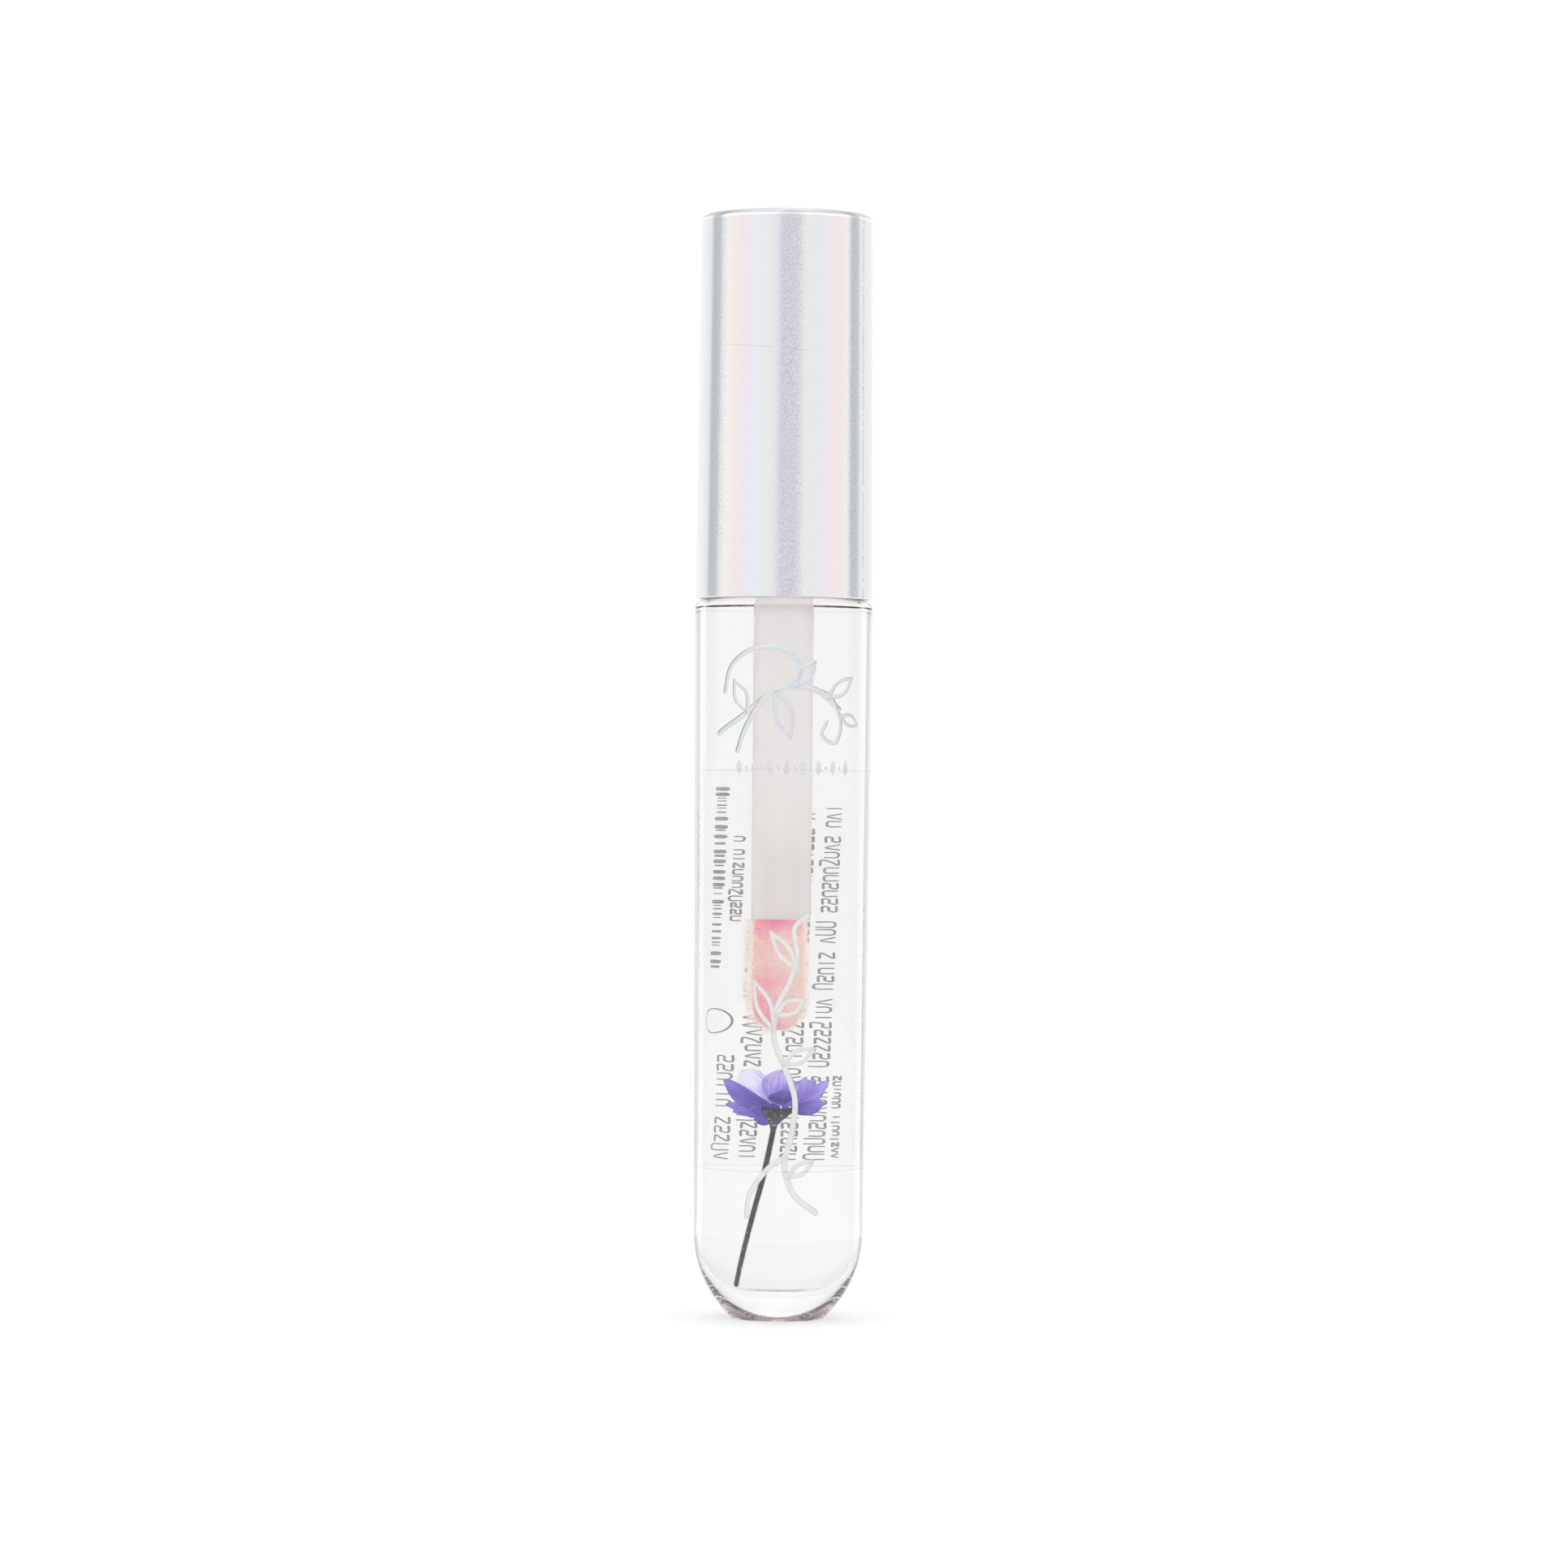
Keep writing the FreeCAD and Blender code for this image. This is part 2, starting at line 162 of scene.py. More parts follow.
def bridge(bm, low, high):
    """Faces between two rings of vertices; a ring of one vertex is a pole."""
    count = max(len(low), len(high))
    for i in range(count):
        j = (i + 1) % count
        if len(low) == 1:
            bm.faces.new((low[0], high[i], high[j]))
        elif len(high) == 1:
            bm.faces.new((low[i], high[0], low[j]))
        else:
            bm.faces.new((low[i], high[i], high[j], low[j]))


def to_object(bm, name, sharp_deg=35):
    """Closes a bmesh into an object with outward normals, smooth but for sharp edges."""
    bmesh.ops.recalc_face_normals(bm, faces=bm.faces[:])
    for face in bm.faces:
        face.smooth = True
    for edge in bm.edges:
        if len(edge.link_faces) == 2:
            edge.smooth = edge.calc_face_angle(0) < math.radians(sharp_deg)
    mesh = bpy.data.meshes.new(name)
    bm.to_mesh(mesh)
    bm.free()
    obj = bpy.data.objects.new(name, mesh)
    bpy.context.scene.collection.objects.link(obj)
    return obj


def lathe(name, outline, steps=SEGMENTS):
    """A closed surface turned about +Z. The outline runs from the axis to the axis."""
    bm = bmesh.new()
    rings = []
    for r, z in outline:
        places = [(0, 0, z * MM)] if r < 1e-6 else circle_at(r, z, steps)
        rings.append([bm.verts.new(p) for p in places])
    for low, high in zip(rings, rings[1:]):
        bridge(bm, low, high)
    return to_object(bm, name)


def body_outline():
    """The bottle's outside from the foot's edge to the shoulder's edge."""
    heel = arc_through((FOOT_R, 0), (BELLY_R, BELLY_Z), (HEEL_R, HEEL_Z), 40)
    return heel + [(SHOULDER_R, SHOULDER_Z - SHOULDER_CHAMFER)]


BODY_LINE = body_outline()


def body_radius(z):
    """Outside radius of the bottle's body at height z."""
    for (r0, z0), (r1, z1) in zip(BODY_LINE, BODY_LINE[1:]):
        if z <= z1:
            return r0 + (r1 - r0) * (z - z0) / (z1 - z0)
    return SHOULDER_R


def cavity_radius(z):
    """Radius of the cavity's drafted wall at height z."""
    low = CAVITY_FLOOR_Z + CAVITY_CORNER
    return CAVITY_FLOOR_R + (NECK_BORE_R - CAVITY_FLOOR_R) * (z - low) / (CAVITY_TOP_Z - low)


def thread_rib():
    """The neck's thread, with its ends run out into the neck."""
    per_turn, fade = 96, 12
    steps = int(per_turn * THREAD_TURNS)
    bm = bmesh.new()
    rings = []
    for i in range(steps + 1):
        turn = 2 * math.pi * i / per_turn
        share = min(1.0, min(i, steps - i) / fade)
        share = math.sin(share * math.pi / 2)
        middle = THREAD_START_Z + THREAD_LEAD * i / per_turn
        root = NECK_R - 0.15
        crest = NECK_R - 0.10 + (NECK_THREAD_R - NECK_R + 0.10) * share
        section = [
            (root, -THREAD_ROOT_HALF), (crest, -THREAD_CREST_HALF),
            (crest, THREAD_CREST_HALF), (root, THREAD_ROOT_HALF),
        ]
        rings.append([
            bm.verts.new((r * math.cos(turn) * MM, r * math.sin(turn) * MM, (middle + h) * MM))
            for r, h in section
        ])
    for low, high in zip(rings, rings[1:]):
        bridge(bm, low, high)
    bm.faces.new(rings[0])
    bm.faces.new(rings[-1])
    return to_object(bm, "thread_rib")


def joined(base, added):
    """base with added merged into it, so that no faces are left inside."""
    union = base.modifiers.new("union", "BOOLEAN")
    union.operation = "UNION"
    union.solver = "EXACT"
    union.object = added
    shown = base.evaluated_get(bpy.context.evaluated_depsgraph_get())
    bm = bmesh.new()
    bm.from_mesh(shown.to_mesh())
    name = base.name
    bpy.data.objects.remove(added)
    bpy.data.objects.remove(base)
    return to_object(bm, name)


# ======================================================================================
# Prints: drawn flat as (s, z), s round the body from its front centreline, then wrapped
# ======================================================================================
def on_body(s, z, lift):
    radius = body_radius(z)
    angle = s / radius
    reach = (radius + lift) * MM
    return Vector((reach * math.sin(angle), -reach * math.cos(angle), z * MM))


def smooth_line(points, per_span=8):
    """A Catmull-Rom line through points."""
    pts = [Vector(p) for p in points]
    pts = [2 * pts[0] - pts[1]] + pts + [2 * pts[-1] - pts[-2]]
    line = []
    for a, b, c, d in zip(pts, pts[1:], pts[2:], pts[3:]):
        for i in range(per_span):
            t = i / per_span
            line.append(0.5 * (
                2 * b + (c - a) * t + (2 * a - 5 * b + 4 * c - d) * t * t
                + (3 * b - a - 3 * c + d) * t ** 3
            ))
    return line + [pts[-2]]


class Sheet:
    """Ink or foil on the body. Each patch is a grid of (s, z) with its own lift and
    its own numbers for the material."""

    NUMBERS = ("along", "across", "tone", "kind")

    def __init__(self):
        self.bm = bmesh.new()
        self.layers = {n: self.bm.verts.layers.float.new(n) for n in self.NUMBERS}

    def patch(self, rows, lift, tone=0.0, kind=0.0):
        """rows of (s, z) points; the first index runs along the patch."""
        grid = []
        for i, row in enumerate(rows):
            line = []
            for k, (s, z) in enumerate(row):
                vert = self.bm.verts.new(on_body(s, z, lift))
                vert[self.layers["along"]] = i / (len(rows) - 1)
                vert[self.layers["across"]] = k / (len(row) - 1)
                vert[self.layers["tone"]] = tone
                vert[self.layers["kind"]] = kind
                line.append(vert)
            grid.append(line)
        for low, high in zip(grid, grid[1:]):
            for a, b, c, d in zip(low, low[1:], high[1:], high):
                self.bm.faces.new((a, b, c, d))

    def stroke(self, points, width, lift=INK_LIFT, end_width=None, per_span=8, **numbers):
        """A line with round ends through points, its width running to end_width."""
        line = smooth_line(points, per_span)
        end_width = width if end_width is None else end_width
        first, last = (line[0] - line[1]).normalized(), (line[-1] - line[-2]).normalized()
        ends = [1.0, 0.92, 0.72, 0.40]
        spine = [(line[0] + first * e * width / 2, math.sqrt(1 - e * e)) for e in ends]
        spine += [(p, 1.0) for p in line]
        spine += [(line[-1] + last * e * end_width / 2, math.sqrt(1 - e * e)) for e in ends[::-1]]
        rows = []
        for i, (p, share) in enumerate(spine):
            before, after = spine[max(i - 1, 0)][0], spine[min(i + 1, len(spine) - 1)][0]
            ahead = (after - before).normalized()
            side = Vector((-ahead.y, ahead.x))
            half = (width + (end_width - width) * i / (len(spine) - 1)) / 2
            half *= max(share, 0.02)
            rows.append([tuple(p - side * half), tuple(p), tuple(p + side * half)])
        self.patch(rows, lift, **numbers)

    def petal(self, base, tip, width, lift, bend=0.0, ragged=0.0, seed=0, **numbers):
        """A petal from base to tip: narrow foot, widest past the middle, round end."""
        rng = random.Random(seed)
        base, tip = Vector(base), Vector(tip)
        ahead = tip - base
        side = Vector((-ahead.y, ahead.x)).normalized()
        columns, rows_count = 12, 26
        notch = [1 - ragged * rng.random() * abs(math.sin(k * 1.9)) for k in range(columns + 1)]
        rows = []
        for i in range(rows_count + 1):
            t = i / rows_count
            half = width / 2 * math.sin(math.pi * min(t, 0.995) ** 1.35) ** 0.62
            half += width * 0.10 * (1 - t) ** 2
            row = []
            for k in range(columns + 1):
                v = 2 * k / columns - 1
                reach = t * (1 - (1 - notch[k]) * t * t)
                centre = base + ahead * reach + side * bend * math.sin(math.pi * reach)
                row.append(tuple(centre + side * v * half))
            rows.append(row)
        self.patch(rows, lift, **numbers)

    def finish(self, name, material):
        obj = to_object(self.bm, name)
        solid = obj.modifiers.new("ink", "SOLIDIFY")
        solid.thickness = INK_T * MM
        solid.offset = 0
        obj.data.materials.append(material)
        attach(obj, "bottle")
        return obj


# ======================================================================================
# Materials
# ======================================================================================
class Shader:
    """A material under construction: add() makes a node, and its inputs are set by name
    to a value or to another node's output."""

    def __init__(self, name):
        self.material = bpy.data.materials.new(name)
        self.material.use_nodes = True
        self.tree = self.material.node_tree
        self.tree.nodes.clear()
        self.output = self.tree.nodes.new("ShaderNodeOutputMaterial")

    def set(self, socket, value):
        if isinstance(value, bpy.types.NodeSocket):
            self.tree.links.new(value, socket)
        else:
            socket.default_value = value

    def add(self, kind, inputs=None, **settings):
        node = self.tree.nodes.new("ShaderNode" + kind)
        for key, value in settings.items():
            setattr(node, key, value)
        for key, value in (inputs or {}).items():
            self.set(node.inputs[key], value)
        return node

    def place(self):
        return self.add("TexCoord").outputs["Object"]

    def math(self, operation, *values, clamp=False):
        return self.add(
            "Math", {i: v for i, v in enumerate(values)}, operation=operation, use_clamp=clamp
        ).outputs[0]

    def noise(self, vector, scale, detail=3.0, roughness=0.5):
        return self.add("TexNoise", {
            "Vector": vector, "Scale": scale, "Detail": detail, "Roughness": roughness,
        }).outputs["Fac"]

    def stretched(self, vector, x, y, z):
        return self.add("Mapping", {"Vector": vector, "Scale": (x, y, z)}).outputs["Vector"]

    def ramp(self, value, stops):
        node = self.add("ValToRGB", {"Fac": value})
        elements = node.color_ramp.elements
        while len(elements) < len(stops):
            elements.new(1.0)
        for element, (at, colour) in zip(elements, stops):
            element.position = at
            element.color = (*colour, 1.0) if len(colour) == 3 else colour
        return node.outputs["Color"]

    def mix(self, share, a, b):
        node = self.add("Mix", data_type="RGBA")
        for key, value in (("Factor_Float", share), ("A_Color", a), ("B_Color", b)):
            socket = next(s for s in node.inputs if s.identifier == key)
            if isinstance(value, tuple) and len(value) == 3:
                value = (*value, 1.0)
            self.set(socket, value)
        return next(s for s in node.outputs if s.identifier == "Result_Color")

    def number(self, name):
        return self.add("Attribute", attribute_name=name).outputs["Fac"]

    def bump(self, height, distance_mm, strength=1.0):
        return self.add("Bump", {
            "Height": height, "Strength": strength, "Distance": distance_mm * MM,
        }).outputs["Normal"]

    def surface(self, kind="BsdfPrincipled", **inputs):
        node = self.add(kind, {k.replace("_", " "): v for k, v in inputs.items()})
        self.tree.links.new(node.outputs[0], self.output.inputs["Surface"])
        return self.material


def srgb(r, g, b):
    """A colour as it shows on screen, from 0 to 255, as linear light."""
    return tuple(
        c / 255 / 12.92 if c < 11 else ((c / 255 + 0.055) / 1.055) ** 2.4 for c in (r, g, b)
    )


def rgba(r, g, b):
    return (*srgb(r, g, b), 1.0)


def clear_plastic():
    """Thick moulded PETG, with the faint lengthwise flow lines of moulding."""
    sh = Shader("clear_petg")
    flow = sh.noise(sh.stretched(sh.place(), 1, 1, 0.05), 420.0, 2.0)
    return sh.surface(
        Base_Color=sh.ramp(flow, [(0.3, (0.995, 0.996, 0.998)), (0.7, (1, 1, 1))]),
        Roughness=sh.math("MULTIPLY", flow, 0.012),
        IOR=PETG_IOR, Transmission_Weight=1.0,
        Normal=sh.bump(flow, 0.002, 0.3),
    )


def gloss_liquid():
    """The gloss seen through the wall: its index is taken against the wall's."""
    sh = Shader("gloss_liquid")
    swirl = sh.noise(sh.stretched(sh.place(), 1, 1, 0.25), 260.0, 3.0)
    tint = sh.ramp(swirl, [(0.35, srgb(247, 247, 246)), (0.65, srgb(249, 249, 249))])
    return sh.surface(
        "BsdfGlass", Color=tint, Roughness=0.0, IOR=GLOSS_IOR / PETG_IOR,
        Normal=sh.bump(swirl, 0.010, 0.5),
    )


def film_plastic():
    """Clear label film, almost unseen but for its cut edges."""
    sh = Shader("label_film")
    place = sh.place()
    height = sh.add("SeparateXYZ", {"Vector": place}).outputs["Z"]
    middle = (FILM_LOW_Z + FILM_HIGH_Z) / 2 * MM
    half = (FILM_HIGH_Z - FILM_LOW_Z) / 2 * MM
    from_edge = sh.math("SUBTRACT", half, sh.math(
        "ABSOLUTE", sh.math("SUBTRACT", height, middle)))
    edge = sh.math("LESS_THAN", from_edge, 0.07 * MM)
    patchy = sh.noise(place, 300.0)
    alpha = sh.math("ADD", 0.012, sh.math("MULTIPLY", edge, sh.math("MULTIPLY", patchy, 0.36)))
    return sh.surface(
        Base_Color=sh.ramp(patchy, [(0.3, srgb(196, 195, 196)), (0.7, srgb(222, 220, 221))]),
        Roughness=0.25, Alpha=alpha,
    )


def near(sh, value, middle, half, soft):
    """1 where value is within half of middle, falling to 0 over soft beyond that."""
    away = sh.math("ABSOLUTE", sh.math("SUBTRACT", value, middle))
    return sh.math("DIVIDE", sh.math("SUBTRACT", half + soft, away), soft, clamp=True)


def holographic_silver():
    """Vacuum-coated silver under lacquer, with fine grain and upright bands that are partly rainbow
    tint and partly painted reflection.
    """
    sh = Shader("holographic_silver")
    place = sh.place()
    parts = sh.add("SeparateXYZ", {"Vector": place})
    around = sh.math("ARCTAN2", parts.outputs["X"], sh.math("MULTIPLY", parts.outputs["Y"], -1.0))
    wobble = sh.noise(sh.stretched(place, 1, 1, 0.06), 130.0, 2.0)
    around = sh.math("ADD", around, sh.math("MULTIPLY", sh.math("SUBTRACT", wobble, 0.5), 0.10))
    fray = sh.noise(place, 2600.0, 2.0)
    around = sh.math("ADD", around, sh.math("MULTIPLY", sh.math("SUBTRACT", fray, 0.5), 0.05))
    turn = sh.math("ADD", sh.math("DIVIDE", around, 2 * math.pi), 0.5)
    # Degrees round the cap and a colour. In front, both began as places and colours
    # measured along one level of the photographed cap, and were then changed to suit the
    # render. Those behind are made up.
    hues_and_painted_reflections = [
        (-180, (226, 226, 226)), (-165, (236, 228, 226)), (-150, (227, 231, 237)),
        (-132, (224, 226, 222)), (-118, (238, 229, 230)), (-104, (228, 226, 236)),
        (-92, (224, 232, 234)), (-74, (238, 239, 238)), (-63, (229, 232, 236)),
        (-52, (238, 247, 254)), (-46, (240, 242, 240)), (-42, (245, 237, 231)),
        (-33, (240, 230, 229)), (-27, (238, 227, 237)), (-21, (228, 234, 240)),
        (-12, (230, 231, 229)), (-3, (229, 226, 237)), (8, (231, 229, 235)),
        (17, (229, 230, 228)), (25, (229, 229, 237)), (31, (238, 227, 231)),
        (40, (240, 229, 225)), (48, (238, 246, 248)), (56, (240, 244, 246)), (62, (232, 233, 234)),
        (82, (236, 230, 231)), (110, (227, 231, 237)),
        (126, (229, 230, 225)), (142, (238, 230, 228)), (158, (229, 227, 237)),
        (172, (226, 231, 233)), (180, (226, 226, 226)),
    ]
    # Painted reflection: the front stops hold the light and dark of reflected studio light as well as
    # the cap's own rainbow tint.
    bands = sh.ramp(turn, [(a / 360 + 0.5, srgb(*c)) for a, c in hues_and_painted_reflections])
    grain = sh.noise(place, 5200.0, 1.0)
    colour = sh.mix(sh.math("MULTIPLY", grain, 0.16), bands, srgb(206, 206, 214))
    specks = sh.add("TexVoronoi", {"Vector": place, "Scale": 2600.0}).outputs["Distance"]
    glint = sh.math("MULTIPLY", sh.math("LESS_THAN", specks, 0.10), 0.35)

    def band(degrees, half, soft):
        return near(sh, around, *(math.radians(v) for v in (degrees, half, soft)))

    # Coarser sparkle down the lavender band and along the edges of the dark ones.
    sparkle = sh.noise(place, 6500.0, 2.0, 0.7)
    dark = sh.math("MULTIPLY", sh.math("SUBTRACT", sparkle, 0.40, clamp=True), 1.3)
    rims = sh.math("ADD", band(-47.0, 1.0, 4.0), band(50.0, 1.0, 5.0))
    where = sh.math("ADD", 0.16, sh.math("ADD", band(4.0, 6.0, 3.0), rims))
    colour = sh.mix(sh.math("MULTIPLY", dark, where), colour, srgb(150, 152, 172))

    # A dotted hairline near the right edge, and a fine scratch round the upper third.
    dots = sh.math("GREATER_THAN", sh.noise(sh.stretched(place, 1, 1, 1.6), 1500.0, 1.0), 0.40)
    hairline = sh.math("MULTIPLY", band(63.5, 0.3, 0.7), dots)
    colour = sh.mix(sh.math("MULTIPLY", hairline, 0.55), colour, srgb(150, 155, 162))
    height = parts.outputs["Z"]
    rise = sh.math("ADD", height, sh.math("MULTIPLY", around, 0.0006))
    scratch = sh.math("MULTIPLY", near(sh, rise, SCRATCH_Z * MM, 0.02 * MM, 0.02 * MM),
                      band(-12.0, 20.0, 20.0))
    broken = sh.math("GREATER_THAN", sh.noise(place, 900.0, 2.0), 0.45)
    colour = sh.mix(sh.math("MULTIPLY", sh.math("MULTIPLY", scratch, broken), 0.4), colour,
                    srgb(160, 162, 168))
    nick = sh.math("MULTIPLY", near(sh, rise, NICK_Z * MM, 0.04 * MM, 0.04 * MM),
                   band(-51.0, 5.0, 4.0))
    colour = sh.mix(sh.math("MULTIPLY", nick, 0.6), colour, srgb(252, 250, 250))

    # Where the coating turns over the top edge: a wandering bright line, duller above it.
    wander = sh.math("MULTIPLY", sh.noise(place, 800.0, 3.0), 0.14 * MM)
    lip = sh.math("ADD", height, wander)
    colour = sh.mix(near(sh, lip, COAT_EDGE_Z * MM, 0.04 * MM, 0.05 * MM), colour,
                    srgb(255, 253, 253))
    turned = sh.math("GREATER_THAN", height, (COAT_EDGE_Z + 0.12) * MM)
    cloud = sh.noise(place, 700.0, 3.0)
    end = sh.ramp(cloud, [(0.3, srgb(194, 198, 203)), (0.7, srgb(206, 206, 209))])
    colour = sh.mix(turned, colour, end)
    return sh.surface(
        Base_Color=sh.mix(glint, colour, srgb(244, 244, 246)),
        Metallic=1.0,
        Roughness=sh.math("ADD", 0.13, sh.math("MULTIPLY", grain, 0.10)),
        Coat_Weight=0.25, Coat_Roughness=0.08,
        Normal=sh.bump(grain, 0.003, 0.5),
    )


def wand_plastic():
    """Milky rod that lets part of the light through, with faint lengthwise streaks."""
    sh = Shader("wand_plastic")
    place = sh.place()
    height = sh.add("SeparateXYZ", {"Vector": place}).outputs["Z"]
    up = sh.add("MapRange", {
        "Value": height, "From Min": 36 * MM, "From Max": 66 * MM,
    }).outputs["Result"]
    body = sh.ramp(up, [
        (0.0, srgb(252, 251, 250)), (0.6, srgb(252, 250, 249)),
    ])
    streak = sh.noise(sh.stretched(place, 1, 1, 0.05), 1500.0, 2.0)
    return sh.surface(
        Base_Color=sh.mix(sh.math("MULTIPLY", streak, 0.10), body, srgb(247, 243, 241)),
        Roughness=0.50, IOR=1.20, Transmission_Weight=0.66,
        Normal=sh.bump(streak, 0.003, 0.3),
    )


def pink_elastomer():
    """Pink paddle under its flocking, hotter at the top and down one side."""
    sh = Shader("pink_elastomer")
    place = sh.place()
    parts = sh.add("SeparateXYZ", {"Vector": place})
    cloud = sh.noise(place, 520.0, 3.0, 0.55)
    top = sh.add("MapRange", {
        "Value": parts.outputs["Z"], "From Min": 34.2 * MM, "From Max": 35.6 * MM,
    }).outputs["Result"]
    left = sh.add("MapRange", {
        "Value": parts.outputs["X"], "From Min": 1.4 * MM, "From Max": -1.4 * MM,
    }).outputs["Result"]
    low = sh.add("MapRange", {
        "Value": parts.outputs["Z"], "From Min": 31.5 * MM, "From Max": 27.5 * MM,
    }).outputs["Result"]
    heat = sh.math("ADD", sh.math("MULTIPLY", top, 0.45), sh.math("MULTIPLY", left, 0.30))
    heat = sh.math("ADD", heat, sh.math("MULTIPLY", sh.math("MULTIPLY", low, left), 0.30))
    heat = sh.math("ADD", heat, sh.math("MULTIPLY", sh.math("SUBTRACT", cloud, 0.5), 1.1))
    return sh.surface(
        Base_Color=sh.ramp(heat, [
            (0.05, srgb(255, 226, 220)), (0.35, srgb(255, 202, 210)),
            (0.65, srgb(255, 158, 190)), (0.95, srgb(252, 130, 172)),
        ]),
        Roughness=0.5, Normal=sh.bump(cloud, 0.02, 0.5),
    )


def nylon_flock():
    """Fine pale fibres. Wet with gloss they nearly match its index, so that they mostly
    tint what is behind them. A weak warm glow keeps the dense ones from going dark."""
    sh = Shader("nylon_flock")
    tint = sh.noise(sh.place(), 900.0, 2.0)
    return sh.surface(
        Base_Color=sh.ramp(tint, [(0.3, srgb(255, 250, 246)), (0.7, srgb(255, 252, 249))]),
        Roughness=0.35, IOR=1.03, Transmission_Weight=0.88,
        Emission_Color=rgba(255, 238, 222), Emission_Strength=0.05,
    )


def sticker_paper():
    """Mauve coated paper with fine bright flecks."""
    sh = Shader("sticker_paper")
    place = sh.place()
    cloud = sh.noise(place, 700.0, 4.0)
    flecks = sh.add("TexVoronoi", {"Vector": place, "Scale": 2400.0}).outputs["Distance"]
    base = sh.ramp(cloud, [(0.3, srgb(214, 192, 214)), (0.7, srgb(232, 214, 228))])
    return sh.surface(
        Base_Color=sh.mix(sh.math("LESS_THAN", flecks, 0.16), base, srgb(240, 228, 232)),
        Roughness=0.55, Normal=sh.bump(cloud, 0.01),
    )


def silver_foil():
    """Pearly hot-stamped foil with a faint rainbow that runs along the strokes."""
    sh = Shader("silver_foil")
    place = sh.place()
    sweep = sh.noise(place, 170.0, 1.0)
    grain = sh.noise(place, 6000.0, 1.0)
    hue = sh.ramp(sweep, [
        (0.25, srgb(227, 216, 220)), (0.38, srgb(220, 220, 219)), (0.48, srgb(219, 217, 227)),
        (0.58, srgb(214, 223, 227)), (0.68, srgb(221, 221, 219)), (0.80, srgb(221, 227, 219)),
    ])
    return sh.surface(
        Base_Color=hue, Metallic=0.85,
        Roughness=sh.math("ADD", 0.22, sh.math("MULTIPLY", grain, 0.12)),
    )


def pearl_ink():
    """White pearl ink of the vine."""
    sh = Shader("pearl_ink")
    grain = sh.noise(sh.place(), 2500.0, 2.0)
    return sh.surface(
        Base_Color=sh.ramp(grain, [(0.3, srgb(225, 222, 222)), (0.7, srgb(233, 231, 230))]),
        Metallic=0.15, Roughness=0.35, Normal=sh.bump(grain, 0.002, 0.4),
    )


def flower_ink():
    """Printed petals: violet feet, pale ends, fine veins; kind 1 is calyx and stem."""
    sh = Shader("flower_ink")
    along, across, tone = sh.number("along"), sh.number("across"), sh.number("tone")
    where = sh.add("CombineXYZ", {"X": across, "Y": along, "Z": sh.math("MULTIPLY", tone, 37.0)})
    veins = sh.noise(sh.stretched(where.outputs[0], 9.0, 0.8, 1.0), 1.6, 3.0)
    cloud = sh.noise(where.outputs[0], 2.2, 3.0)
    value = sh.math("ADD", tone, sh.math("MULTIPLY", sh.math("SUBTRACT", along, 0.55), 0.42))
    value = sh.math("ADD", value, sh.math("MULTIPLY", sh.math("SUBTRACT", veins, 0.5), 0.55))
    value = sh.math("ADD", value, sh.math("MULTIPLY", sh.math("SUBTRACT", cloud, 0.5), 0.45))
    petals = sh.ramp(value, [
        (0.0, srgb(78, 66, 128)), (0.22, srgb(92, 78, 162)), (0.45, srgb(126, 108, 198)),
        (0.68, srgb(162, 146, 222)), (0.86, srgb(198, 190, 238)), (1.0, srgb(226, 226, 248)),
    ])
    fleck = sh.noise(sh.place(), 3800.0, 2.0)
    green = sh.ramp(fleck, [
        (0.30, srgb(70, 68, 74)), (0.62, srgb(96, 93, 99)), (0.72, srgb(196, 194, 198)),
    ])
    dusk = sh.mix(sh.math("MULTIPLY", along, 1.6, clamp=True), rgba(58, 48, 66), green)
    return sh.surface(
        Base_Color=sh.mix(sh.number("kind"), petals, dusk), Roughness=0.45,
    )


def grey_ink():
    sh = Shader("grey_ink")
    speck = sh.noise(sh.place(), 3000.0, 2.0)
    return sh.surface(
        Base_Color=sh.ramp(speck, [(0.3, srgb(150, 149, 154)), (0.75, srgb(186, 185, 190))]),
        Roughness=0.5,
    )


def milky_plastic(name, light, shade, scale, weight):
    """Natural LDPE or white PP with a fine moulded grain."""
    sh = Shader(name)
    grain = sh.noise(sh.place(), scale, 3.0)
    return sh.surface(
        Base_Color=sh.ramp(grain, [(0.3, shade), (0.7, light)]),
        Roughness=0.42, Subsurface_Weight=weight, Subsurface_Radius=(1.0, 0.9, 0.8),
        Subsurface_Scale=0.8 * MM, Normal=sh.bump(grain, 0.006, 0.5),
    )


def liner_plastic():
    """White PP. The clear wall carries its look down to the foot, so a little mauve light
    of its own, which the real one doesn't have, tints the crescents at the foot."""
    sh = Shader("liner_pp")
    grain = sh.noise(sh.place(), 1600.0, 3.0)
    return sh.surface(
        Base_Color=sh.ramp(grain, [(0.3, srgb(232, 232, 230)), (0.7, srgb(243, 243, 240))]),
        Roughness=0.42, Normal=sh.bump(grain, 0.006, 0.5),
        Emission_Color=rgba(206, 178, 200), Emission_Strength=0.42,
    )


def foam():
    """Closed-cell foam: small cells on a white ground."""
    sh = Shader("washer_foam")
    cells = sh.add("TexVoronoi", {"Vector": sh.place(), "Scale": 5200.0}).outputs["Distance"]
    return sh.surface(
        Base_Color=sh.ramp(cells, [(0.05, srgb(206, 206, 204)), (0.45, srgb(240, 240, 237))]),
        Roughness=0.8, Normal=sh.bump(cells, 0.03),
    )


# ======================================================================================
# Pieces
# ======================================================================================
def paint(node, material):
    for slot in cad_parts[node].material_slots:
        slot.material = material


def dress(obj, material, body, slot, *replaced):
    obj.data.materials.clear()
    obj.data.materials.append(material)
    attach(obj, body)
    if replaced:
        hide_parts(*replaced)
    return obj


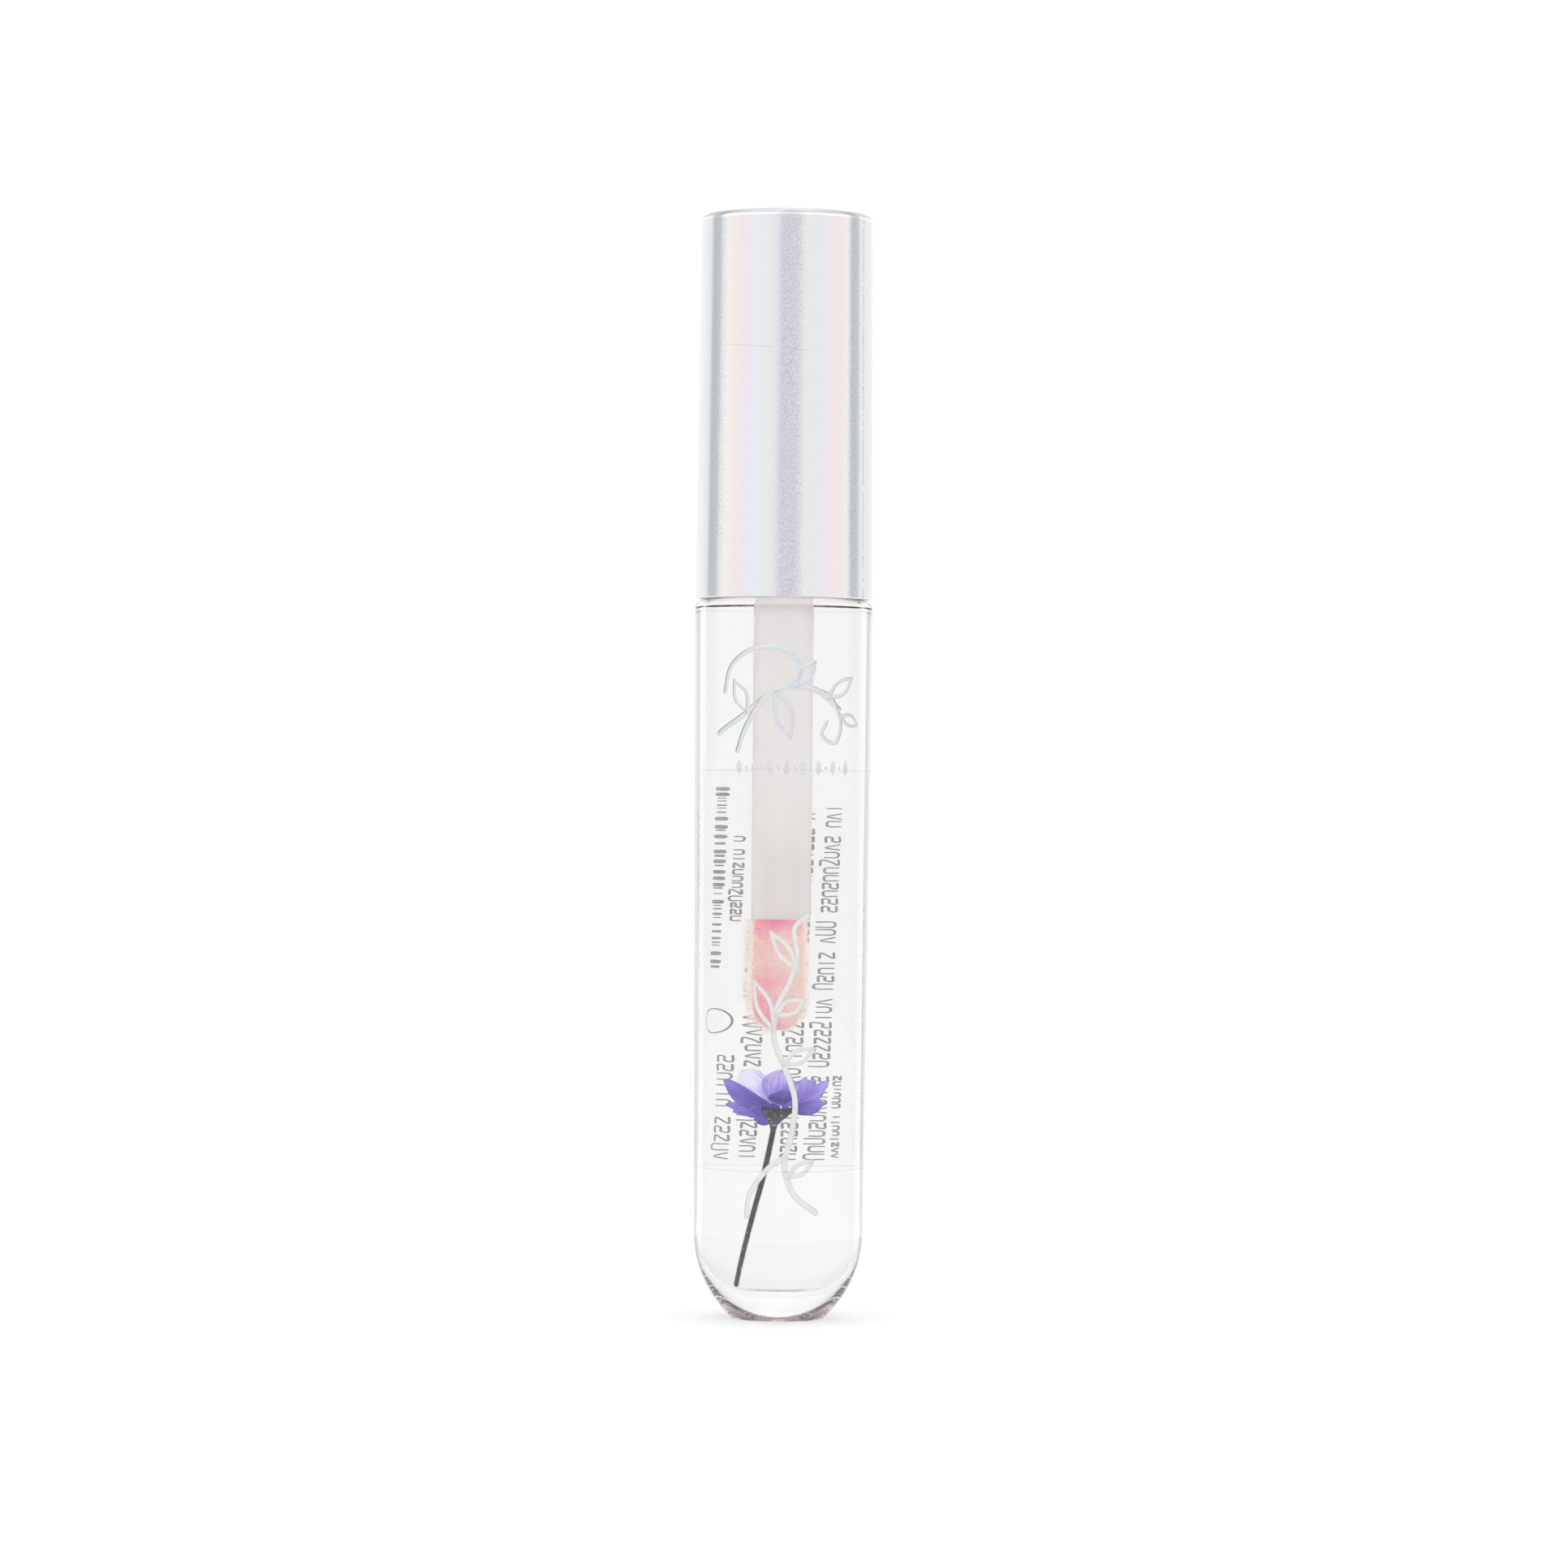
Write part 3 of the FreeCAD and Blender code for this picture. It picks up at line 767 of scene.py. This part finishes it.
def bottle_piece():
    """The clear bottle. Below the gloss's surface it has no inner wall of its own: the
    gloss's side is the wall between the two."""
    outline = rounded([(0, RECESS_DEPTH), (RECESS_R, RECESS_DEPTH, SMALL_ROUND),
                       (RECESS_R, 0, SMALL_ROUND), (FOOT_R, 0)])[:-1]
    outline += rounded([(RECESS_R, 0), (FOOT_R, 0, FOOT_EDGE), BODY_LINE[3]])[1:-1]
    outline += BODY_LINE[3:-1]
    outline += rounded([
        BODY_LINE[-2],
        (SHOULDER_R, SHOULDER_Z - SHOULDER_CHAMFER, 0.30),
        (SHOULDER_R - SHOULDER_CHAMFER, SHOULDER_Z, 0.25),
        (NECK_R, SHOULDER_Z, 0.15),
        (NECK_R, NECK_TOP_Z - 0.3, 0.1),
        (NECK_R - 0.3, NECK_TOP_Z, 0.1),
        (NECK_BORE_R, NECK_TOP_Z, 0.15),
        (NECK_BORE_R, GLOSS_TOP_Z, 0.2),
        (0, GLOSS_TOP_Z),
    ])[1:]
    body = joined(lathe("bottle_clear", outline), thread_rib())
    return dress(body, clear_plastic(), "bottle", "clear_bottle", "bottle")


def gloss_piece():
    """The gloss is one closed volume. It has no hole for the wand, which stands in it."""
    turn_z, turn_r = CAVITY_FLOOR_Z + CAVITY_CORNER, CAVITY_FLOOR_R - CAVITY_CORNER
    arc = [
        (turn_r + CAVITY_CORNER * math.sin(a), turn_z - CAVITY_CORNER * math.cos(a))
        for a in (math.pi / 2 * i / 24 for i in range(25))
    ]
    top = GLOSS_TOP_Z - 0.02
    outline = [(0, CAVITY_FLOOR_Z), (turn_r - 0.3, CAVITY_FLOOR_Z)] + arc
    outline += rounded([arc[-1], (cavity_radius(top), top, 0.1), (0, top)])[1:]
    body = lathe("gloss_body", outline)
    return dress(body, gloss_liquid(), "bottle", "gloss", "gloss_fill")


def film_piece():
    """The film is a thin closed band, its two ends butted at the back."""
    seam, gap = math.radians(145), math.radians(1.5)
    columns = 240
    bm = bmesh.new()
    rings = []
    for i in range(columns + 1):
        angle = seam + gap / 2 + (2 * math.pi - gap) * i / columns
        section = []
        for z, lift in (
            (FILM_LOW_Z, FILM_LIFT), (FILM_LOW_Z, FILM_LIFT + FILM_T),
            (FILM_HIGH_Z, FILM_LIFT + FILM_T), (FILM_HIGH_Z, FILM_LIFT),
        ):
            reach = (body_radius(z) + lift) * MM
            section.append(bm.verts.new((reach * math.cos(angle), reach * math.sin(angle), z * MM)))
        rings.append(section)
    for low, high in zip(rings, rings[1:]):
        bridge(bm, low, high)
    bm.faces.new(rings[0])
    bm.faces.new(rings[-1])
    film = to_object(bm, "label_film_band")
    return dress(film, film_plastic(), "bottle", "label_film", "wrap_label")


def sticker_piece():
    """The round sticker, wetted on to the base: its face lies just inside the plastic."""
    top, bottom = RECESS_DEPTH + 0.01, RECESS_DEPTH - 0.12
    outline = rounded([(0, bottom), (STICKER_R, bottom, 0.03), (STICKER_R, top, 0.03), (0, top)])
    return dress(
        lathe("foot_sticker", outline, 128), sticker_paper(), "bottle", "sticker_paper", "base_label"
    )


def paddle_rings(per_span=5):
    """The paddle's sections, smoothed along its length."""
    rows = [Vector(p) for p in PADDLE]
    rows = [2 * rows[0] - rows[1]] + rows + [2 * rows[-1] - rows[-2]]
    out = []
    for a, b, c, d in zip(rows, rows[1:], rows[2:], rows[3:]):
        for i in range(per_span):
            t = i / per_span
            out.append(0.5 * (2 * b + (c - a) * t + (2 * a - 5 * b + 4 * c - d) * t * t
                              + (3 * b - a - 3 * c + d) * t ** 3))
    return out + [rows[-2]]


def paddle_point(ring, angle):
    z, centre_y, half_x, half_y = ring
    return Vector((PADDLE_X + half_x * math.cos(angle), centre_y + half_y * math.sin(angle), z))


def paddle_piece():
    rings = paddle_rings()
    end = rings[-1]
    bm = bmesh.new()
    steps = 64
    loops = [[bm.verts.new((PADDLE_X * MM, 0, (PADDLE[0][0] + 0.001) * MM))]]
    for ring in rings:
        loops.append([
            bm.verts.new(paddle_point(ring, 2 * math.pi * i / steps) * MM) for i in range(steps)
        ])
    loops.append([bm.verts.new((PADDLE_X * MM, end[1] * MM, (end[0] - 0.03) * MM))])
    for low, high in zip(loops, loops[1:]):
        bridge(bm, low, high)
    core = to_object(bm, "paddle_core", 60)
    return dress(core, pink_elastomer(), "cap", "tip_plastic", "applicator_core")


def fibre(bm, root, ahead, length, radius):
    """One tapered fibre, three-sided and closed."""
    side = ahead.orthogonal().normalized()
    across = ahead.cross(side)
    foot = [
        bm.verts.new((root + radius * (math.cos(a) * side + math.sin(a) * across)) * MM)
        for a in (0, 2 * math.pi / 3, 4 * math.pi / 3)
    ]
    tip = bm.verts.new((root + ahead * length) * MM)
    bm.faces.new(foot)
    for a, b in zip(foot, foot[1:] + foot[:1]):
        bm.faces.new((a, tip, b))


def flock_piece():
    """Short fibres standing off the paddle, longer at its sides and end."""
    rng = random.Random(11)
    rings = paddle_rings()
    bm = bmesh.new()
    made = 0
    while made < FIBRES:
        place = rng.uniform(0.2, len(rings) - 1.001)
        i = int(place)
        ring = rings[i].lerp(rings[i + 1], place - i)
        size = ring[2] / 1.55
        drop = (rings[i][0] - rings[i + 1][0]) / 0.4
        if rng.random() > max(0.15, size) * max(0.25, min(1.0, drop)):
            continue
        angle = rng.uniform(0, 2 * math.pi)
        root = paddle_point(ring, angle)
        lean = (rings[i + 1][2] - rings[i][2]) / max(rings[i][0] - rings[i + 1][0], 1e-3)
        out = Vector((math.cos(angle) / max(ring[2], 0.2), math.sin(angle) / max(ring[3], 0.2), 0))
        out = out.normalized()
        out.z = max(-3.0, min(0.4, lean))
        jitter = Vector([rng.gauss(0, FIBRE_SPREAD) for _ in range(3)])
        ahead = (out.normalized() + jitter).normalized()
        tuft = max(0.0, -math.cos(angle))
        length = rng.uniform(*FIBRE_LENGTH) * (1 + TUFT_GROWTH * tuft)
        end = root + ahead * length
        while math.hypot(end.x, end.y) > FIBRE_REACH + FIBRE_TUFT * tuft and length > 0.05:
            length -= 0.03
            end = root + ahead * length
        start = root - ahead * FIBRE_ROOT
        fibre(bm, start, ahead, length + FIBRE_ROOT, rng.uniform(*FIBRE_R))
        made += 1
    flock = to_object(bm, "flock_fibres", 180)
    return dress(flock, nylon_flock(), "cap", "flock", "flock_tip")


# ---- prints on the bottle --------------------------------------------------------------
def leaf(sheet, foot, tip, belly, width, lift=INK_LIFT):
    """An open leaf drawn as two bowed strokes from foot to tip."""
    foot, tip = Vector(foot), Vector(tip)
    side = Vector((-(tip - foot).y, (tip - foot).x)).normalized()
    middle = (foot + tip) / 2
    for way in (-1, 1):
        sheet.stroke(
            [foot, middle + side * way * belly, tip], width, lift, width * 0.7, per_span=10
        )


def foil_sprig():
    """A sprig of foil above the label: a long arching stem with open leaves."""
    sheet = Sheet()
    sheet.stroke([(-6.3, 52.6), (-3.6, 54.2), (-0.6, 56.4), (2.6, 56.6), (5.4, 54.8)], 0.50)
    sheet.stroke([(-5.6, 56.3), (-4.9, 58.6), (-2.6, 60.1), (0.2, 59.9), (1.6, 58.2),
                  (0.6, 56.8)], 0.46, end_width=0.34)
    sheet.stroke([(2.4, 56.6), (4.4, 55.9), (5.6, 53.6), (5.0, 51.8), (3.6, 52.4),
                  (4.1, 53.7)], 0.46, end_width=0.30)
    sheet.stroke([(-1.9, 55.5), (-3.4, 53.1), (-4.2, 51.0)], 0.56, end_width=0.40)
    leaf(sheet, (-3.2, 54.5), (-4.6, 57.3), 0.62, 0.40)
    leaf(sheet, (-0.6, 56.3), (0.7, 52.2), 0.72, 0.42)
    leaf(sheet, (1.2, 56.8), (2.9, 59.0), 0.55, 0.38)
    leaf(sheet, (4.2, 55.8), (7.0, 57.6), 0.60, 0.40)
    leaf(sheet, (5.5, 54.2), (7.9, 53.4), 0.48, 0.36)
    return sheet.finish("foil_sprig", silver_foil())


def foil_row():
    """A spaced row of small solid leaves and dots under the sprig."""
    sheet = Sheet()
    for i in range(8):
        s = -4.0 + 1.46 * i
        ends = [(s, 48.90), (s, 50.20)]
        if i % 2:
            ends.reverse()
        sheet.petal(ends[0], ends[1], 0.52, INK_LIFT)
        if i < 7:
            sheet.stroke([(s + 0.73, 49.50), (s + 0.73, 49.60)], 0.20, per_span=3)
    return sheet.finish("foil_row", silver_foil())


def pearl_vine():
    """A vine in pearl ink that climbs the front, over the flower and the wand."""
    sheet = Sheet()
    lift = VINE_LIFT
    stem = [
        (3.4, 10.0), (1.4, 11.6), (0.5, 14.2), (1.1, 17.0), (1.4, 20.0), (0.5, 22.8),
        (-0.5, 25.4), (-0.3, 28.2), (0.8, 30.4), (1.5, 32.8), (1.2, 35.2), (2.4, 36.4),
    ]
    sheet.stroke(stem, 0.56, lift, end_width=0.44, per_span=8)
    sheet.stroke([(0.6, 15.0), (-1.0, 13.9), (-2.6, 11.6), (-2.9, 9.6)], 0.52, lift, end_width=0.42)
    for foot, tip, belly in (
        ((-0.5, 26.2), (-2.4, 30.6), 0.62),
        ((-0.4, 27.6), (2.2, 28.9), 0.60),
        ((1.5, 31.6), (-0.9, 34.9), 0.50),
        ((0.3, 23.2), (3.1, 24.6), 0.55),
        ((0.8, 13.2), (3.1, 14.6), 0.46),
    ):
        leaf(sheet, foot, tip, belly, 0.46, lift)
    return sheet.finish("pearl_vine", pearl_ink())


STEM_LINE = [(-0.50, 17.40), (-0.86, 15.6), (-1.42, 13.0), (-2.10, 10.5), (-2.86, 7.6),
             (-3.42, 5.4), (-3.90, 3.45)]


def flower_print():
    """A purple blossom seen from the side, on a long thin stem."""
    sheet = Sheet()
    petals = [
        # foot, tip, width, bend, ragged, tone
        ((-1.0, 19.7), (-3.7, 22.5), 2.5, -0.25, 0.05, 0.92),
        ((0.6, 19.8), (3.4, 21.9), 1.3, 0.15, 0.30, 0.52),
        ((-0.2, 19.5), (0.1, 22.8), 2.8, 0.10, 0.10, 0.66),
        ((0.9, 19.7), (2.4, 22.2), 1.2, -0.10, 0.25, 0.58),
        ((1.0, 19.5), (4.7, 21.8), 1.15, -0.20, 0.25, 0.62),
        ((1.2, 19.5), (4.2, 20.9), 1.0, -0.15, 0.20, 0.50),
        ((-0.8, 19.4), (-5.2, 19.5), 0.95, 0.15, 0.20, 0.46),
        ((-1.0, 19.2), (-4.4, 18.9), 0.75, 0.10, 0.35, 0.40),
        ((1.0, 19.3), (4.3, 19.8), 0.95, -0.12, 0.20, 0.36),
        ((0.9, 19.1), (3.8, 19.2), 0.75, -0.10, 0.30, 0.30),
        ((-0.4, 19.3), (-5.45, 21.7), 1.6, 0.35, 0.06, 0.34),
        ((0.4, 19.2), (1.7, 21.6), 1.5, 0.25, 0.08, 0.48),
        ((-0.2, 19.5), (-2.1, 18.0), 1.9, -0.15, 0.22, 0.18),
        ((0.0, 19.5), (-1.2, 18.1), 1.3, 0.05, 0.28, 0.24),
        ((-0.6, 19.5), (-3.0, 18.6), 1.1, -0.10, 0.30, 0.26),
        ((0.3, 19.7), (0.2, 20.9), 2.3, 0.0, 0.10, 0.20),
    ]
    for i, (foot, tip, width, bend, ragged, tone) in enumerate(petals):
        sheet.petal(foot, tip, width, INK_LIFT + PETAL_STEP * i, bend, ragged, i, tone=tone)
    lift = INK_LIFT + PETAL_STEP * len(petals)
    calyx = [((0.0, 19.30), 3.0), ((-0.08, 19.0), 3.1), ((-0.2, 18.6), 2.5), ((-0.38, 18.0), 1.35),
             ((-0.48, 17.6), 0.72), ((-0.52, 17.1), 0.46)]
    rows = []
    for (s, z), width in calyx:
        rows.append([(s + width * (k / 8 - 0.5), z + 0.22 * (2 * k / 8 - 1) ** 2) for k in range(9)])
    sheet.patch(rows, lift, kind=1.0)
    sheet.stroke(STEM_LINE, 0.46, lift, kind=1.0, end_width=0.44)
    return sheet.finish("flower_print", flower_ink())


def white_underprint():
    """The white ground that shows as a fine outline round the flower's stem."""
    sheet = Sheet()
    sheet.stroke(STEM_LINE, 0.62, INK_LIFT - 0.002)
    return sheet.finish("stem_underprint", pearl_ink())


def back_mark(sheet, rng, s, z, size, pitch):
    """One small nonsense mark of the greeked print: a bow, a hook, a wave or a tick."""
    wide, tall = pitch * 0.33, size * (1.45 if rng.random() < 0.22 else 0.85)
    shapes = (
        [(-size, -wide), (tall * 0.7, -wide), (tall, 0), (tall * 0.7, wide), (-size, wide)],
        [(tall, -wide), (-size * 0.6, -wide), (-size, 0), (-size * 0.6, wide), (tall, wide)],
        [(-size, wide), (-size, -wide), (0, -wide * 0.6), (0, wide * 0.6), (tall, wide), (tall, -wide)],
        [(-size, 0), (tall, 0)],
        [(tall, -wide), (tall * 0.9, wide), (0, wide * 0.2), (-size, -wide), (-size, wide)],
        [(-size, -wide), (tall, -wide * 0.2), (-size, wide)],
    )
    points = [(s + a, z + b) for a, b in rng.choice(shapes)]
    sheet.stroke(points, 0.115, per_span=4)


def back_print():
    """Greeked back label: upright lines of nonsense marks in words, a strip of bars
    and a ring."""
    rng = random.Random(5)
    sheet = Sheet()
    back = math.pi * BACK_PRINT_R
    for degrees, size, pitch, low, high in (
        (-19.1, 0.13, 0.50, 14.6, 22.0),
        (-13.4, 0.31, 0.70, 14.5, 46.3),
        (-5.4, 0.30, 0.70, 14.5, 45.6),
        (6.3, 0.30, 0.70, 14.5, 45.4),
        (14.4, 0.34, 0.80, 14.5, 23.7),
        (13.6, 0.20, 0.60, 36.0, 43.8),
    ):
        s = back + math.radians(degrees) * BACK_PRINT_R
        z, left = low, rng.randint(4, 11)
        while z < high:
            if left:
                back_mark(sheet, rng, s, z, size, pitch)
                left -= 1
            else:
                left = rng.randint(3, 12)
            z += pitch
    strip = back + math.radians(20.0) * BACK_PRINT_R
    z = 31.6
    while z < 48.2:
        thick = rng.choice((0.10, 0.14, 0.22, 0.34))
        sheet.stroke([(strip - 0.20, z), (strip + 0.20, z)], thick, per_span=3)
        z += thick + rng.choice((0.16, 0.24, 0.40))
    ring = [(strip - 0.1 + 0.9 * math.cos(a / 12 * math.tau), 26.7 + 1.1 * math.sin(a / 12 * math.tau))
            for a in range(13)]
    sheet.stroke(ring, 0.11)
    return sheet.finish("back_print", grey_ink())


# ======================================================================================
# Stage, light and camera
# ======================================================================================
def studio():
    """A white sweep all round, dimmer where the gaps between the soft boxes are: in front
    of the tube, and to each side just behind it."""
    world = bpy.data.worlds.new("studio")
    bpy.context.scene.world = world
    world.use_nodes = True
    tree = world.node_tree
    tree.nodes.clear()

    def node(kind, **settings):
        made = tree.nodes.new("ShaderNode" + kind)
        for key, value in settings.items():
            setattr(made, key, value)
        return made

    def number(operation, a, b=0.0):
        made = node("Math", operation=operation)
        for socket, value in zip(made.inputs, (a, b)):
            if isinstance(value, bpy.types.NodeSocket):
                tree.links.new(value, socket)
            else:
                socket.default_value = value
        return made.outputs[0]

    def curve(value, stops):
        made = node("ValToRGB")
        elements = made.color_ramp.elements
        while len(elements) < len(stops):
            elements.new(1.0)
        for element, (at, level) in zip(elements, stops):
            element.position = at
            element.color = (level, level, level, 1.0)
        tree.links.new(value, made.inputs["Fac"])
        return made.outputs["Color"]

    parts = node("SeparateXYZ")
    tree.links.new(node("TexCoord").outputs["Generated"], parts.inputs[0])
    bearing = number("ARCTAN2", parts.outputs["X"], number("MULTIPLY", parts.outputs["Y"], -1.0))
    turn = number("ADD", number("DIVIDE", bearing, 2 * math.pi), 0.5)
    bright, front, gap, sweep = 0.66, 0.55, 0.36, 0.645
    stops = [
        (-180, sweep), (-122, sweep), (-117, gap), (-101, gap), (-96, bright), (-14, bright),
        (-9, front), (15, front), (20, bright), (93, bright), (97, gap), (103, gap + 0.06),
        (112, gap), (117, sweep), (180, sweep),
    ]
    round_about = curve(turn, [(a / 360 + 0.5, level) for a, level in stops])
    height = number("MULTIPLY", number("ADD", parts.outputs["Z"], 1.0), 0.5)
    lift = node("MapRange")
    tree.links.new(height, lift.inputs["Value"])
    for key, value in (("From Min", 0.84), ("From Max", 0.94), ("To Min", 0.0), ("To Max", 0.46)):
        lift.inputs[key].default_value = value
    overhead = lift.outputs["Result"]
    level = number("ADD", number("MULTIPLY", round_about, 2.0), overhead)
    light = node("Background")
    tree.links.new(level, light.inputs["Strength"])
    tree.links.new(light.outputs[0], node("OutputWorld").inputs["Surface"])


def floor():
    """A pale light table, lit from underneath."""
    bm = bmesh.new()
    bmesh.ops.create_grid(bm, x_segments=4, y_segments=4, size=3.0)
    plane = to_object(bm, "floor")
    sh = Shader("pale_floor")
    cloud = sh.noise(sh.place(), 12.0)
    plane.data.materials.append(sh.surface(
        Base_Color=sh.ramp(cloud, [(0.3, (0.49, 0.49, 0.49)), (0.7, (0.51, 0.51, 0.51))]),
        Roughness=0.9, Emission_Color=(1.0, 1.0, 1.0, 1.0), Emission_Strength=0.46,
    ))
    plane.location.z = FLOOR_Z


def camera():
    data = bpy.data.cameras.new("camera")
    data.sensor_width = SENSOR_MM
    data.lens = SENSOR_MM * CAMERA_DISTANCE / VIEW_WIDTH
    data.clip_start, data.clip_end = 0.01, 20.0
    eye = bpy.data.objects.new("camera", data)
    level = Matrix.Rotation(math.pi / 2, 4, "X")
    roll = Matrix.Rotation(math.radians(CAMERA_ROLL_DEG), 4, "Z")
    place = Matrix.Translation((CAMERA_X, -CAMERA_DISTANCE, CAMERA_Z))
    eye.matrix_world = place @ level @ roll
    bpy.context.scene.collection.objects.link(eye)
    bpy.context.scene.camera = eye
    bpy.context.scene.view_settings.view_transform = "Standard"
    # Light goes through many walls to reach the wand, and blurring its paths darkens the
    # wand.
    cycles = bpy.context.scene.cycles
    cycles.max_bounces, cycles.transmission_bounces = 32, 32
    cycles.diffuse_bounces, cycles.glossy_bounces = 8, 12
    cycles.transparent_max_bounces = 16
    cycles.blur_glossy = 0.0


camera()
studio()
floor()

bottle_piece()
gloss_piece()
film_piece()
sticker_piece()
paddle_piece()
flock_piece()
foil_sprig()
foil_row()
pearl_vine()
flower_print()
white_underprint()
back_print()

paint("cap_shell", holographic_silver())
paint("stem", wand_plastic())
paint("inner_cap", liner_plastic())
paint("wiper", milky_plastic("wiper_ldpe", srgb(238, 238, 233), srgb(226, 226, 220), 1200.0, 0.3))
paint("seal_washer", foam())
